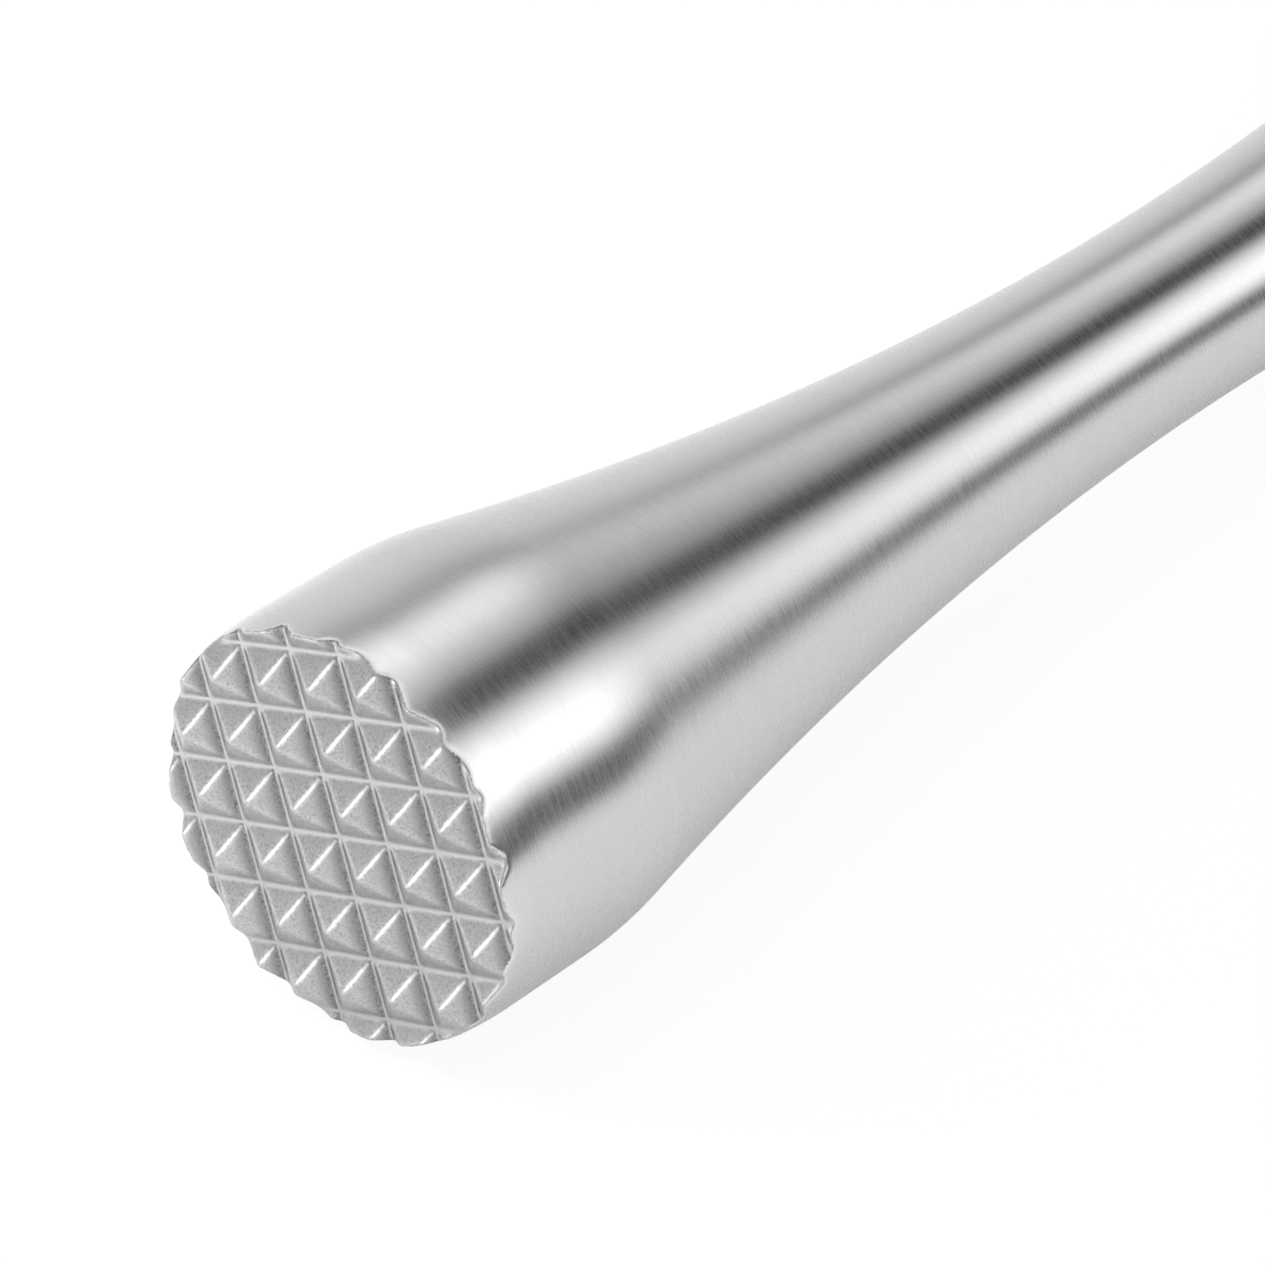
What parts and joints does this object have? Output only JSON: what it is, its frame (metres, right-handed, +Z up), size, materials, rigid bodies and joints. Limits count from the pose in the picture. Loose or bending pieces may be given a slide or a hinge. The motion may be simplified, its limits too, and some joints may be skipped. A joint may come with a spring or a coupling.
{
  "type": "muddler",
  "caption": "Hand muddler: a round head with a grid of blunt pyramids on its face, a long body that narrows to a waist, and a domed grip.",
  "frame": {"origin": "on the plane that the muddler lies on, under the middle of its bounding box", "axes": "+Z up; the muddler lies on its side along Y, with its pyramid face towards -Y and its domed grip towards +Y; X is across it. Its lathe axis dips 1.9 degrees towards the grip, because shoulder and grip both touch the plane."},
  "size_m": [0.035, 0.2054, 0.0353],
  "materials": {
    "cast_steel": "cast stainless steel, fine grain on the pyramids, brushed around the side",
    "brushed_steel": "stainless steel, satin, brushed around the axis on a lathe",
    "weld_steel": "stainless steel weld, ground flush and brushed with its neighbours"
  },
  "bodies": {
    "root": {"head_casting": "cast_steel", "body_shell": "brushed_steel", "end_cap": "brushed_steel", "head_weld": "weld_steel", "cap_weld": "weld_steel"}
  },
  "joints": []
}
